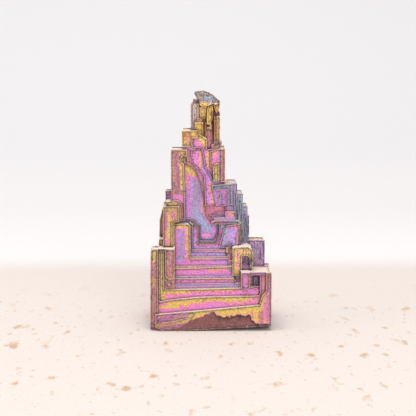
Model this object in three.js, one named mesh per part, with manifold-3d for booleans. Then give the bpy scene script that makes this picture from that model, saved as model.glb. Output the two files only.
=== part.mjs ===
// A bismuth hopper crystal: one grown piece of metal, about 49 mm tall, standing on its flat broken base.
// Bismuth grows faster along its edges than across its faces, so each face is left as a staircase of flat
// terraces that steps down towards the middle. Every terrace of the front is a slab: an outline in the X-Z
// plane, as deep as it reaches into the crystal, whose face lies a number of growth layers behind the rim.
// Millimetres, +Z up, the widest hopper face towards -Y, the origin under the middle of the base.
import * as THREE from "three";
import { ConvexGeometry } from "three/addons/geometries/ConvexGeometry.js";
import { mergeVertices } from "three/addons/utils/BufferGeometryUtils.js";
import Module from "manifold-3d";

const HALF_WIDTH = 12.4;
const HALF_DEPTH = 9;
const FRONT = -HALF_DEPTH;
const BACK = HALF_DEPTH;
const LAYER = 0.35; // thickness of one growth layer
const ROOT = 0.6; // Y where slabs of the front end, inside the core
const LEFT_BLOCK_TOP = 17;
const RIGHT_BLOCK_TOP = 12.2;
const BLOCK_ROOT = -5.2; // Y where the left corner block's standing part ends
const BACK_ROOT = -1.2; // Y where blocks of the back end, inside the core

const rect = (x0, x1, z0, z1) => [[x0, z0], [x1, z0], [x1, z1], [x0, z1]];

// The hopper face, from the rim inwards. Each entry is [layers behind the rim, outline, root if not ROOT].

// Rim terraces: nested troughs that run along the base and turn up into both corners.
const RIM_TERRACES = [
  [0, [[-11.35, 0], [HALF_WIDTH, 0], [HALF_WIDTH, RIGHT_BLOCK_TOP], [11.35, RIGHT_BLOCK_TOP], [11.3, 8.3],
    [10.5, 7.4], [9.85, 5.4], [-4.2, 4.1], [-11.35, 3.5]]],
  [1, [[-HALF_WIDTH, 0], [-10.75, 0], [-10.75, LEFT_BLOCK_TOP], [-11.9, LEFT_BLOCK_TOP], [-12.2, 16.7]],
    BLOCK_ROOT],
  [2, rect(-12.3, -10.75, 0, 12.8)],
  [2, [[-11.35, 0], [11.35, 0], [11.35, 11.8], [10.15, 11.8], [10.1, 7.85], [9.8, 7.2], [-2.5, 6.95],
    [-9.1, 6.3], [-10.1, 6], [-10.7, 6.2], [-10.7, 7.7], [-11.35, 7.7]]],
  [3.5, [[-10.55, 0], [10.1, 0], [10.1, 9.35], [8.4, 8.9], [5.9, 8.7], [-9.55, 8.4], [-9.55, 16.8],
    [-10.55, 16.8]]],
];

// The front left corner block, with a tongue that hangs down its inner side.
const LEFT_BLOCK = [
  [5, rect(-12.1, -7.3, 0, LEFT_BLOCK_TOP), BLOCK_ROOT],
  [10.5, rect(-12.1, -7.3, 0, 14.8)],
  [1, [[-9.25, 17], [-9.25, 11.6], [-9, 11], [-8.6, 10.75], [-8, 10.75], [-7.6, 11], [-7.4, 11.5],
    [-7.4, 17]]],
  [2, rect(-10.75, -7.4, 16.3, 17)],
  [4.5, rect(-9.4, -7.5, 8.4, 10.45)],
  [3, rect(-9, -7.85, 8.8, 10.15)],
];

// The front right corner block: a raised square, a lintel and an outer post round a sunken box.
const RIGHT_BLOCK = [
  [4, rect(6.1, HALF_WIDTH, 0, RIGHT_BLOCK_TOP)],
  [0, rect(6.2, 7.9, 8.65, RIGHT_BLOCK_TOP)],
  [0.5, rect(6.2, 11.35, 11.6, RIGHT_BLOCK_TOP)],
];

// Stairs between the corner blocks, each tread with a narrow step below it.
const STAIRS = [
  [5.5, rect(-8.9, 5.9, 0, 9)],
  [6.5, rect(-7.35, 5.6, 0, 9.4)],
  [7.5, [[-7.35, 0], [5.1, 0], [5.25, 9.9], [4.8, 10.45], [-7.35, 10.45]]],
  [8.5, rect(-7.2, 4.9, 0, 10.85)],
  [9.5, [[-7.3, 0], [5.2, 0], [5.3, 11.7], [4.6, 12.8], [-7.3, 12.4]]],
  [10.5, rect(-7.2, 4.3, 0, 12.85)],
];

// Nested troughs round the sunken floor in the middle.
const TROUGHS = [
  [11.5, [[-7.6, 0], [3.4, 0], [3.9, 13.6], [3.5, 14.3], [-4.15, 14.3], [-4.15, 21.2], [-4.6, 21.6],
    [-7.6, 21.5]]],
  [12.5, rect(-4.3, 3.5, 0, 14.65)],
  [13.5, [[-4.3, 0], [3.3, 0], [3.6, 15.2], [3.3, 15.7], [-3.6, 15.7], [-3.6, 21.3], [-4.3, 21.9]]],
  [14, rect(-3.7, 3.4, 0, 16.05)],
  [15, [[-3.7, 0], [6.35, 0], [6.35, 21.5], [1.9, 21.5], [1.75, 19], [1.4, 17.8], [0.9, 17.2],
    [-2.5, 17.2], [-2.5, 20.2], [-3.7, 21.7]]],
  [14, [[1.7, 16.5], [2.3, 18.6], [2.75, 20.4], [3.4, 21.1], [6, 21.4], [6, 16.5]]],
  [16.5, [[-2.7, 0], [1.9, 0], [1.9, 21.3], [1.45, 21.3], [1.4, 19.2], [0.6, 17.9], [-2.05, 17.9],
    [-2.1, 20.9], [-3.5, 22.2], [-4.9, 22.5], [-4.9, 21], [-2.7, 20]]],
];

// The floor, and the terraces that climb from it to the upper right. The edges between them run aslant.
const SLOPES = [
  [18, [[-8, 0], [6.2, 0], [6.2, 22], [5.2, 29], [3, 30], [2.9, 36.7], [-4, 36.8], [-8, 36.5]]],
  [17, [[-5, 33.5], [-4.1, 33.25], [-2.95, 32], [-1.95, 29.8], [-1.4, 27], [-1.2, 24], [-0.7, 22.6],
    [0.2, 21.7], [1.3, 21.4], [6, 21.4], [5.2, 29], [2.9, 30], [2.9, 36.6], [-5, 36.6]]],
  [15, [[-3.9, 36.9], [-4.1, 34.4], [-3.2, 33.4], [-1.36, 31.4], [-1.15, 28.5], [-1.1, 25.2],
    [4.3, 25.2], [4.3, 29.6], [2.9, 29.8], [2.9, 36.9]]],
  [13.5, [[-3.7, 37.2], [-1.9, 37.05], [-1.5, 35.8], [-1.2, 33.2], [0.3, 30.8], [0.7, 30.4], [2.9, 30.2],
    [2.9, 36.9], [-0.75, 36.9], [-0.75, 39], [-2.3, 40], [-3.7, 39.2]]],
  [12.5, [[-0.05, 36.4], [0.9, 36.8], [2.98, 37.1], [2.98, 30.2], [0.75, 30.2], [0.3, 31.8],
    [-0.05, 32.7]]],
  [11, [[0.6, 30.4], [0.54, 33.3], [0.8, 33.9], [1.3, 34.1], [1.78, 34.1], [1.78, 30.4]]],
  [11.5, rect(2.1, 2.98, 30.3, 37.1)],
];

// The tall columns up the left side.
const LEFT_COLUMNS = [
  [14.5, [[-10.6, 12], [-10.5, 21.5], [-9.9, 24], [-9.4, 24], [-9.4, 12]]],
  [9.5, [[-9.7, 12], [-9.7, 25.35], [-6.4, 25.35], [-6.4, 22.1], [-7.9, 22], [-8, 12]]],
  [11, rect(-9.7, -7.3, 12, 22.1)],
  [11.5, [[-9.1, 22], [-9.1, 26.2], [-6.7, 26.45], [-6.1, 26], [-5.75, 25.2], [-5.7, 22.6], [-6.4, 22]]],
  [20, rect(-9.25, -7.9, 20, 28)],
  [12.5, [[-8.07, 26.2], [-6.5, 26.2], [-5.95, 25.6], [-5.75, 22.6], [-5.15, 22.6], [-5.4, 34],
    [-4.75, 35.3], [-4.75, 36.85], [-8.07, 36.85]]],
  [16, rect(-4.8, -3.85, 34.3, 36.9)],
  [12.5, [[-5.8, 37.5], [-5.8, 40.75], [-2.65, 40.75], [-2.6, 39.2], [-3.7, 39.1], [-3.85, 37.5]]],
  [14.5, rect(-5.6, -3, 36.6, 40.2)],
];

// The right side: a hooded panel, the sill under it, an arch, and a post behind the corner block.
const RIGHT_PANELS = [
  [13, [[0.25, 29.5], [4.28, 29.8], [4.45, 25.4], [3.6, 25.4], [3.5, 28.6], [0.45, 28.4]]],
  [14.5, [[0.4, 28.5], [3.6, 28.7], [3.6, 25.2], [1.15, 25.2]]],
  [13.5, [[2.55, 25.6], [3.15, 25.6], [3, 27.6], [2.5, 27.6]]],
  [14, rect(1.6, 2.15, 25.5, 27.9)],
  [14.5, rect(3.1, 4.9, 22.4, 24)],
  [16, rect(3.1, 5, 22.4, 25.2)],
  [14, rect(0.7, 5.1, 21.4, 22.75)],
  [13.5, [[0.2, 21.4], [5.9, 21.4], [5.9, 22.1], [1, 22.1], [0.2, 21.8]]],
  [12.5, rect(4.5, 8.6, 0, 15.5)],
  [8, [[4.5, 11], [4.5, 16.7], [5, 16.9], [7.6, 17], [8.4, 16.6], [8.75, 15.6], [8.75, 11.5],
    [8.1, 11.5], [8, 14.6], [7.6, 15.1], [6.4, 15.1], [6.35, 11]]],
  [10.5, [[6.3, 12], [8.1, 12], [8.1, 12.9], [7.2, 13.1], [6.3, 13.9]]],
  [20.5, rect(7.4, 11.35, 0, 17.6), 2],
];

// Short steps where the stairs and troughs run out, in the angle beside the arch.
const STAIR_ENDS = [
  [6.5, rect(5, 6.3, 8, 9.5)],
  [8.5, rect(5.2, 6.3, 8, 10.5)],
  [10, rect(5.1, 6.3, 8, 11.4)],
  [11.5, rect(4.7, 6.3, 8, 12.3)],
  [12, rect(3.7, 4.5, 12, 13.9)],
  [13, rect(3.4, 4.1, 12, 15)],
  [13.5, rect(3.9, 4.6, 12, 16.1)],
  [13, rect(3.2, 3.7, 15.4, 16.6)],
  [13.5, [[3.2, 16.4], [4.7, 16.4], [4.7, 17], [4, 17.6], [3.2, 17]]],
];

// The right flank steps down and back, one column after another: [layers, x0, x1, top].
const FLANK_COLUMNS = [
  [17, 4.2, 5.5, 29.65],
  [19, 5.4, 6.75, 27.4],
  [21, 6.6, 7.75, 24.7],
  [22.5, 7.6, 8.1, 22.6],
];
const FLANK_ROOT = 3.2;
const FLANK_RIBS = 3;
const RIB_HEIGHT = 0.3;
const RIB_FOOT = 12;

// The neck under the tip: narrow upright blades with dark gaps between them.
const NECK = [
  [21, [[-3.97, 36], [-3.97, 45.9], [-3.3, 46.7], [2, 46.6], [1.75, 44.5], [2, 44], [2, 36]], 2.2],
  [19, [[-3.97, 37.6], [-3.97, 45.5], [-3.4, 46.5], [-2.3, 46], [-2.05, 43], [-3.1, 41.5], [-3.3, 37.6]]],
  [18.5, [[-3.5, 41.8], [-3.5, 45.6], [-3.2, 46.1], [-2.9, 45.9], [-2.9, 42.2]]],
  [17.5, [[-2.1, 42.2], [-2.1, 45.3], [-0.7, 45.5], [-0.95, 44.2], [-1.15, 42.2]]],
  [16, [[-0.7, 41.9], [-0.75, 44.3], [-0.35, 46.3], [0.3, 46.3], [0.6, 44.6], [0.45, 43], [0, 41.9]]],
  [17.5, [[0.65, 45.8], [2, 46.2], [1.7, 44.5], [1.2, 44.2], [0.95, 44.9]]],
  [15.5, rect(0.75, 1.3, 36.8, 43.4)],
  [16.5, rect(1.4, 1.95, 36.8, 43.5)],
  [18.5, rect(-0.85, 0.4, 36.8, 42)],
  [17.5, [[-0.6, 40.8], [0.35, 40.8], [0.35, 42.1], [-0.1, 42.1], [-0.1, 41.3], [-0.6, 41.3]]],
  [15, rect(-3.15, -1.5, 39, 42.3)],
  [16, [[-2.9, 42], [-1.6, 42], [-1.6, 42.5], [-1.8, 43], [-2.6, 43.1]]],
  [17, rect(-1.4, -1.2, 38, 42.3)],
  [17, rect(-1.05, -0.9, 38, 42.3)],
  [14.5, [[0.1, 36.8], [1.9, 36.8], [1.7, 37.6], [1.1, 37.4], [0.7, 37.9], [0.2, 37.6]]],
  [20, rect(1.8, 2.35, 36, 38.2)],
];

// The back of the crystal is a second, coarser staircase. Each entry is [x0, x1, top, face].
const BACK_BLOCKS = [
  [-HALF_WIDTH, HALF_WIDTH, 3.8, BACK],
  [-11.6, HALF_WIDTH, 7.2, 8.2],
  [-HALF_WIDTH, -7, 12.6, 8.6],
  [5, 12, 10.4, 7.6],
  [-8.6, 7.6, 10.8, 7.2],
  [-11.9, -7, 15.2, 5.2],
  [5, 11, 15, 5.2],
  [-7.8, 6.6, 15.4, 6.4],
  [-8.6, -3.4, 20.8, 6.9],
  [1.6, 6.4, 18.8, 5.8],
  [-6.8, 5.2, 19.6, 5.2],
  [-9.2, -5, 22.4, 4.4],
  [-6.2, 4.4, 24.8, 4.6],
  [-1.2, 4.8, 28.2, 5],
  [-7.4, -4, 31, 3.6],
  [-4.6, 3, 31.4, 3.9],
  [-7.6, -3.4, 34.2, 2.4],
  [-3.6, 2.4, 36.2, 3.2],
  [-5.4, -2.8, 39.2, 2.2],
  [-0.6, 2.1, 38.6, 3.4],
  [-3.4, 1.4, 42.4, 2.8],
];

// Hopper pits: nested rectangles sunk step by step into a face. Each entry is [side the face looks to, its
// place along that axis, range across it, range up it (or back, on a top), steps, depth of a step, and the
// width of each tread on the four sides: low and high across, low and high up].
const PITS = [
  ["-x", -HALF_WIDTH, [-7.9, 7.9], [0.9, 12], 4, 0.45, [0.7, 0.9, 0.5, 0.4]],
  ["-x", -HALF_WIDTH, [-8.1, -7.6], [12.8, 16.4], 1, 0.5, [0, 0, 0, 0]],
  ["-x", -12.2, [-6.8, 0.2], [12.9, 16.3], 2, 0.4, [0.6, 0.5, 0.4, 0.5]],
  ["-x", -9.7, [-4.9, -0.4], [18.2, 24.6], 2, 0.4, [0.5, 0.4, 0.8, 0.5]],
  ["-x", -8.07, [-4, -0.2], [28.6, 36.2], 3, 0.35, [0.35, 0.4, 0.9, 0.5]],
  ["-x", -5.8, [-4, -0.1], [38, 40.3], 2, 0.35, [0.4, 0.5, 0.3, 0.3]],
  ["-x", -3.97, [-1.1, 1.7], [42.6, 45.6], 2, 0.3, [0.35, 0.4, 0.5, 0.4]],
  ["+x", HALF_WIDTH, [-8.2, -2.2], [0.9, 11.6], 4, 0.45, [0.6, 0.5, 0.8, 0.6]],
  ["+x", HALF_WIDTH, [1.2, 7.8], [0.8, 6.6], 3, 0.5, [0.7, 0.6, 0.5, 0.6]],
  ["+x", 11.35, [-1.2, 1.6], [12.9, 17.1], 2, 0.4, [0.4, 0.5, 0.9, 0.6]],
  ["+x", 11, [1.9, 4.8], [8.2, 14.6], 3, 0.4, [0.5, 0.4, 0.9, 0.6]],
  ["+x", 8.1, [-0.8, 2.8], [18.4, 22], 2, 0.3, [0.4, 0.5, 0.4, 0.4]],
  ["+x", 2.98, [-4.2, -0.3], [31, 36.4], 3, 0.3, [0.35, 0.4, 0.7, 0.5]],
  ["+x", 2, [-1.2, 1.8], [39, 43.8], 2, 0.3, [0.4, 0.4, 0.7, 0.6]],
  ["+y", BACK, [-10.8, 10.6], [0.5, 3.4], 2, 0.35, [1.1, 0.9, 0.5, 0.45]],
  ["+y", 8.6, [-11.9, -7.5], [4.4, 12.1], 4, 0.45, [0.45, 0.4, 0.9, 0.6]],
  ["+y", 8.2, [-6.2, 11.8], [4.2, 6.8], 2, 0.3, [0.9, 1.3, 0.4, 0.4]],
  ["+y", 7.6, [7.9, 11.6], [7.6, 10], 2, 0.4, [0.6, 0.5, 0.4, 0.4]],
  ["+y", 7.2, [-6.6, 7.2], [7.5, 10.4], 3, 0.35, [0.8, 0.7, 0.3, 0.35]],
  ["+y", 6.4, [-3, 6.2], [11.2, 15], 3, 0.35, [0.8, 0.6, 0.45, 0.4]],
  ["+y", 6.9, [-8.2, -3.8], [11.4, 20.3], 4, 0.45, [0.4, 0.45, 1.2, 0.7]],
  ["+y", 5.8, [2, 6], [15.8, 18.4], 2, 0.35, [0.5, 0.5, 0.4, 0.4]],
  ["+y", 4.6, [-5.8, -1.6], [21.2, 24.3], 3, 0.3, [0.5, 0.5, 0.35, 0.35]],
  ["+y", 5, [-0.8, 4.4], [20.2, 27.8], 4, 0.4, [0.5, 0.45, 0.8, 0.6]],
  ["+y", 3.6, [-7.1, -4.9], [25.4, 30.6], 2, 0.3, [0.35, 0.3, 0.7, 0.6]],
  ["+y", 3.9, [-3.9, 2.6], [28.6, 31], 2, 0.3, [0.8, 0.6, 0.35, 0.35]],
  ["+y", 3.2, [-3.2, -0.9], [31.8, 35.8], 2, 0.3, [0.35, 0.35, 0.6, 0.5]],
  ["+y", 3.4, [-0.3, 1.8], [32, 38.2], 3, 0.3, [0.25, 0.3, 1.1, 0.6]],
  ["+y", 2.8, [-3.1, -0.9], [39.4, 42], 2, 0.25, [0.35, 0.3, 0.4, 0.3]],
  ["+y", 2.2, [-3.4, 1.4], [43, 46.2], 2, 0.3, [0.7, 0.8, 0.5, 0.5]],
  ["+z", 12.6, [-12, -7.4], [5.6, 8.2], 2, 0.3, [0.6, 0.5, 0.4, 0.4]],
  ["+z", RIGHT_BLOCK_TOP, [8.6, 12], [-8.4, -2.1], 1, 0.2, [0.5, 0.4, 0.9, 0.5]],
  ["+z", 17.6, [7.9, 11], [-1.2, 1.6], 1, 0.25, [0, 0, 0, 0]],
  ["+z", 15, [6.9, 10.6], [2.3, 4.8], 2, 0.3, [0.4, 0.4, 0.3, 0.4]],
  ["+z", 20.8, [-8.2, -3.8], [4.8, 6.6], 1, 0.3, [0.3, 0.3, 0.2, 0.2]],
];

// Openings cut into the hopper face after its terraces are joined, as [layers down to the floor, outline].
const RECESSES = [
  [8.5, rect(8.05, 10, 9.1, 11.4)],
  [21, [[-0.8, 22.9], [-0.1, 22.5], [3.1, 22.7], [3.1, 24.9], [-0.8, 25]]],
  [16, [[-5.9, 34.2], [-5.3, 33.8], [-4.6, 34.4], [-4.8, 35.4], [-5.5, 35.7], [-6, 35.1]]],
  [1, [[-10.4, 1.7], [-7.4, 2.1], [-3.9, 3.1], [-6.6, 2.75], [-10.4, 2.3]]],
  [1, [[-7.6, 3.15], [-3.6, 3.35], [-5.4, 3.6]]],
  [19.5, rect(5.25, 5.65, 22, 24.2)],
];

// Small steps that stand inside those openings.
const RECESS_STEPS = [
  [6.5, rect(8.95, 9.6, 9, 10.8)],
  [7, rect(8, 8.45, 9, 11.5)],
  [17.5, [[-0.3, 22.3], [3.2, 22.3], [3.2, 23.1], [1.2, 23.2], [-0.3, 22.9]]],
  [19, [[0.5, 22.3], [3.2, 22.3], [3.2, 23.7], [2.2, 23.7], [0.5, 23.4]]],
  [14.5, rect(-5.4, -5.05, 34, 34.9)],
  [15, rect(-5.9, -5.5, 34.4, 35.1)],
];

// The tip is a rough, broken lump that overhangs the neck, as two rounded pebbles of corner points.
const TIP_LUMPS = [
  [[-3.5, -2.3, 48.2], [-3.3, -2.5, 48.6], [-1.9, -2.9, 48.6], [-0.9, -3.2, 48.3], [0.5, -3.1, 47.9],
    [-2.9, -2.7, 47.4], [-2.3, -3.3, 46.2], [-1.8, -3.5, 45.5], [-0.4, -3.6, 45.7], [0.7, -3.2, 46.3],
    [-3.1, 1.6, 48], [-1.6, 2.3, 48.4], [0.4, 2.1, 47.8], [-2.4, 1.8, 45.8], [0.6, 1.9, 45.8]],
  [[-0.6, -2.9, 48.4], [0.5, -3.2, 48.1], [1.2, -2.9, 47.4], [2.2, -2.3, 46.5], [1.7, -2.6, 45.9],
    [0.6, -3.3, 46], [-0.4, -3.3, 46.3], [-0.3, 2.2, 48], [1.1, 1.9, 47.3], [1.9, 1.3, 46.4],
    [0.2, 1.8, 45.8], [1.6, 1, 45.7]],
];

// Wedges broken off the base: one under the front right edge, one off the front left corner.
const BREAKS = [
  [[-9, -9.5, 0], [12.6, -2.5, 0], [12.6, -9.5, 1.1], [-9, -9.5, -1], [12.6, -2.5, -1], [12.6, -9.5, -1]],
  [[-12.8, -9.4, 2], [-8.9, -9.4, -0.1], [-12.8, -6.4, -0.1], [-13.6, -10.4, -1]],
];

const wasm = await Module();
wasm.setup();

function solid(geometry) {
  geometry.deleteAttribute("normal");
  geometry.deleteAttribute("uv");
  const merged = mergeVertices(geometry, 1e-4);
  return new wasm.Manifold(new wasm.Mesh({
    numProp: 3,
    vertProperties: merged.attributes.position.array,
    triVerts: new Uint32Array(merged.index.array),
  }));
}

const behindRim = (layers) => FRONT + layers * LAYER;

function slab(face, outline, root = ROOT) {
  const shape = new THREE.Shape(outline.map(([x, z]) => new THREE.Vector2(x, z)));
  const geometry = new THREE.ExtrudeGeometry(shape, { depth: root - face, bevelEnabled: false });
  geometry.rotateX(Math.PI / 2).translate(0, root, 0);
  return solid(geometry);
}

function box([x0, x1], [y0, y1], [z0, z1]) {
  const geometry = new THREE.BoxGeometry(x1 - x0, y1 - y0, z1 - z0);
  geometry.translate((x0 + x1) / 2, (y0 + y1) / 2, (z0 + z1) / 2);
  return solid(geometry);
}

const join = (solids) => solids.reduce((whole, piece) => whole.add(piece));
const slabs = (entries) => entries.map(([layers, outline, root]) => slab(behindRim(layers), outline, root));

// A flank column with thin upright ribs on its front, each a little shorter than the last.
function ribbed([layers, x0, x1, top]) {
  const face = behindRim(layers);
  const pitch = (x1 - x0) / (2 * FLANK_RIBS);
  const ribs = Array.from({ length: FLANK_RIBS }, (_, i) => {
    const x = x0 + (2 * i + 1) * pitch;
    return box([x, x + pitch * 0.8], [face - RIB_HEIGHT, ROOT], [RIB_FOOT, top - 0.5 - 0.7 * i]);
  });
  return [box([x0 - 1, x1], [face, FLANK_ROOT], [0, top]), ...ribs];
}

// The boxes that a pit takes away, one for each step.
function pit([side, level, u, v, steps, drop, inset]) {
  const outwards = side[0] === "+" ? 1 : -1;
  return Array.from({ length: steps }, (_, i) => {
    const across = [u[0] + inset[0] * i, u[1] - inset[1] * i];
    const up = [v[0] + inset[2] * i, v[1] - inset[3] * i];
    const depth = [level - outwards * drop * (i + 1), level + outwards].sort((a, b) => a - b);
    if (side[1] === "x") return box(depth, across, up);
    return side[1] === "y" ? box(across, depth, up) : box(across, up, depth);
  });
}

const lump = (points) => solid(new ConvexGeometry(points.map((p) => new THREE.Vector3(...p))));

const body = join([
  ...slabs(RIM_TERRACES),
  ...slabs(LEFT_BLOCK),
  ...slabs(RIGHT_BLOCK),
  ...slabs(STAIRS),
  ...slabs(TROUGHS),
  ...slabs(SLOPES),
  ...slabs(LEFT_COLUMNS),
  ...slabs(RIGHT_PANELS),
  ...slabs(STAIR_ENDS),
  ...FLANK_COLUMNS.flatMap(ribbed),
  ...slabs(NECK),
  ...BACK_BLOCKS.map(([x0, x1, top, face]) => box([x0, x1], [BACK_ROOT, face], [0, top])),
]);
const cut = join([
  ...RECESSES.map(([layers, outline]) => slab(FRONT - 1, outline, behindRim(layers))),
  ...PITS.flatMap(pit),
  ...BREAKS.map(lump),
]);
const crystal = join([body.subtract(cut), ...slabs(RECESS_STEPS), ...TIP_LUMPS.map(lump)]);

const mesh = crystal.getMesh();
const geometry = new THREE.BufferGeometry();
geometry.setAttribute("position", new THREE.BufferAttribute(new Float32Array(mesh.vertProperties), 3));
geometry.setIndex(new THREE.BufferAttribute(new Uint32Array(mesh.triVerts), 1));

const bismuth = new THREE.MeshStandardMaterial({
  color: new THREE.Color(0.86, 0.5, 0.72),
  roughness: 0.35,
  metalness: 0.8,
  flatShading: true,
});

const hopperCrystal = new THREE.Group();
const grown = new THREE.Mesh(geometry, bismuth);
grown.name = "bismuth_crystal";
hopperCrystal.add(grown);

export default hopperCrystal;
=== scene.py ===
# %% [markdown]
# # A bismuth hopper crystal
# Bismuth that cools from the melt grows faster along its edges than across its faces. Each face is left
# as a staircase of sunken squares, and a film of oxide a few hundred nanometres thick colours the steps.
# This lesson starts from the crystal's construction model, its blocks and terraces at their real size,
# and gives it what the eye sees: raised rims, a rough tip, growth lines and the film's colours.
# The model is in metres, so a constant turns millimetres into metres.

# %% Load the crystal's construction model
import math
import time

import bmesh
import bpy
import numpy as np
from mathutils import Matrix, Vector


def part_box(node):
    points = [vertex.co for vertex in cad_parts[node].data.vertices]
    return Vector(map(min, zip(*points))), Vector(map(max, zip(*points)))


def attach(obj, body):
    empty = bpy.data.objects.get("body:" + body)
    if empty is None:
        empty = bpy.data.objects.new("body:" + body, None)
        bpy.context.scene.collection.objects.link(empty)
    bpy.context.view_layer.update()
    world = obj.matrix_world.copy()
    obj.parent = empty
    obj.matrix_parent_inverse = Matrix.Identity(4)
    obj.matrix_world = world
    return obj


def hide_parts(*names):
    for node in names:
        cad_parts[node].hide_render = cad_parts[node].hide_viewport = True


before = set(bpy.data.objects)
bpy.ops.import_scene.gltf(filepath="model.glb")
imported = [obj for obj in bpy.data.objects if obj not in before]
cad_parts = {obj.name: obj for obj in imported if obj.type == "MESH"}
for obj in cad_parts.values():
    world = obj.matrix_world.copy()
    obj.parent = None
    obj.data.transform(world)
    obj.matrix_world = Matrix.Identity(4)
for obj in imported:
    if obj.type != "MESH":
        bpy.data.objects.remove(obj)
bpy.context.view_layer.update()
started = time.time()
MM = 0.001
CRYSTAL_NODE = "bismuth_crystal"
low, high = (Vector(corner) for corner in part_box(CRYSTAL_NODE))
size = high - low
print("crystal", [round(side / MM, 1) for side in size], "mm")

# %% [markdown]
# ## Camera
# The crystal is seen almost straight from the front and slightly from above, with a long lens that keeps
# its upright edges parallel. The camera could be placed by eye, but two angles and a distance say the
# same thing in a way that can be changed later. The aim point is a little below half height.

# %% Camera
CAMERA_AZIMUTH = math.radians(-1)
CAMERA_ELEVATION = math.radians(9)
CAMERA_DISTANCE = 300 * MM
VIEW_WIDTH = 86.6 * MM
SENSOR_WIDTH = 36
AIM_ACROSS = -0.42 * MM
AIM_SHARE = 0.496
aim = Vector((AIM_ACROSS, 0, size.z * AIM_SHARE))
towards_camera = Vector((
    math.sin(CAMERA_AZIMUTH) * math.cos(CAMERA_ELEVATION),
    -math.cos(CAMERA_AZIMUTH) * math.cos(CAMERA_ELEVATION),
    math.sin(CAMERA_ELEVATION),
))
viewpoint = aim + towards_camera * CAMERA_DISTANCE
bpy.ops.object.select_all(action="DESELECT")
bpy.ops.object.camera_add(
    location=viewpoint,
    rotation=(-towards_camera).to_track_quat("-Z", "Y").to_euler(),
)
camera = bpy.context.object
camera.name = "camera"
camera.data.sensor_width = SENSOR_WIDTH
camera.data.lens = SENSOR_WIDTH * CAMERA_DISTANCE / VIEW_WIDTH
camera.data.clip_start = 10 * MM
bpy.context.scene.camera = camera
print("lens", round(camera.data.lens), "mm at", round(CAMERA_DISTANCE / MM), "mm")

# %% [markdown]
# ## Shader arithmetic
# A finish here is worked out from numbers such as the distance to a rim. Wiring Math nodes by hand hides
# that sum, so a small class wraps a socket and turns + - * / into Math nodes. A second class holds one
# material, and one method of it adds any other node from its type, its settings and its inputs.

# %% Sockets that can be added and multiplied
class Wire:
    """A node's output socket that can be used in sums."""

    def __init__(self, finish, socket):
        self.finish = finish
        self.socket = socket

    def math(self, operation, *others):
        return self.finish.node("ShaderNodeMath", {"operation": operation}, dict(enumerate((self, *others))))

    def __add__(self, other):
        return self.math("ADD", other)

    def __sub__(self, other):
        return self.math("SUBTRACT", other)

    def __mul__(self, other):
        return self.math("MULTIPLY", other)

    def __truediv__(self, other):
        return self.math("DIVIDE", other)

    def __rsub__(self, other):
        return self.finish.node("ShaderNodeMath", {"operation": "SUBTRACT"}, {0: other, 1: self})

    __radd__ = __add__
    __rmul__ = __mul__

    def clamp(self):
        return self.finish.node("ShaderNodeClamp", {}, {"Value": self})

    def absolute(self):
        return self.math("ABSOLUTE")

    def at_least(self, least):
        return self.math("MAXIMUM", least)

    def fade(self, rate):
        """1 at zero, falling off as the value grows, the faster the higher the rate."""
        return (self * -rate).math("EXPONENT")

    def ramp_between(self, start, end):
        """0 below start, 1 above end, smooth between them."""
        return self.finish.node("ShaderNodeMapRange", {"interpolation_type": "SMOOTHSTEP"},
                                {"Value": self, "From Min": start, "From Max": end})


# %% A material and its nodes
class Finish:
    """A material and the nodes in it."""

    def __init__(self, name):
        self.material = bpy.data.materials.new(name)
        self.material.use_nodes = True
        self.tree = self.material.node_tree
        self.shader = self.tree.nodes["Principled BSDF"]

    def feed(self, socket, value):
        if isinstance(value, Wire):
            self.tree.links.new(value.socket, socket)
        else:
            socket.default_value = value

    def node(self, kind, settings, inputs, output=0):
        node = self.tree.nodes.new(kind)
        for name, value in settings.items():
            if name == "stops":
                set_stops(node.color_ramp, value)
            else:
                setattr(node, name, value)
        for key, value in inputs.items():
            self.feed(node.inputs[key], value)
        return Wire(self, node.outputs[output])

    def surface(self, **inputs):
        for name, value in inputs.items():
            self.feed(self.shader.inputs[name.replace("_", " ")], value)

    def place(self):
        return self.node("ShaderNodeTexCoord", {}, {}, "Object")

    def noise(self, feature, detail=3.0, place=None):
        """Cloudy noise from 0 to 1 whose spots are about feature metres across."""
        return self.node("ShaderNodeTexNoise", {},
                         {"Vector": place or self.place(), "Scale": 1 / feature, "Detail": detail})

    def blend(self, factor, first, second, mode="MIX"):
        return self.node("ShaderNodeMix", {"data_type": "RGBA", "blend_type": mode},
                         {"Factor": factor, 6: first, 7: second}, 2)


# %% Ramps and colours
def set_stops(ramp, stops):
    while len(ramp.elements) > 1:
        ramp.elements.remove(ramp.elements[-1])
    for place, colour in stops:
        stop = ramp.elements[0] if place == stops[0][0] else ramp.elements.new(place)
        stop.position = place
        stop.color = colour


def colour(code):
    """A colour from its hexadecimal code, as the linear values that shaders use."""
    values = [int(code[i:i + 2], 16) / 255 for i in (1, 3, 5)]
    return (*((v / 12.92 if v <= 0.04045 else ((v + 0.055) / 1.055) ** 2.4) for v in values), 1.0)


print("white as a shader value:", colour("#ffffff"))

# %% [markdown]
# ## Stone slab and backdrop
# The crystal stands on a pale, finely pitted limestone slab in front of a white wall. The slab ends
# softly a short way behind it. One plane does both: it starts as a grid, its far part is lifted into a
# curved sweep, and the colour changes from stone to wall with the distance from the crystal.

# %% Slab and backdrop
SWEEP_START = 0.16
SWEEP_SIZE = 1.6
SWEEP_RISE = 1.9
PIT_SIZE = 3.4 * MM
SPECK_SIZE = 1.3 * MM
GRAIN_SIZE = 0.7 * MM
PIT_DEPTH = 0.3 * MM
LAST_PIT = 0.04
SLAB_END = (0.050, 0.075)
WALL_START = (0.17, 0.24)
bpy.ops.mesh.primitive_grid_add(x_subdivisions=4, y_subdivisions=96, size=SWEEP_SIZE, location=(0, 0, 0))
floor = bpy.context.object
floor.name = "floor"
for vertex in floor.data.vertices:
    past = max(0.0, vertex.co.y - SWEEP_START)
    vertex.co.z = past ** 2 * SWEEP_RISE
bpy.ops.object.shade_smooth()

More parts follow.
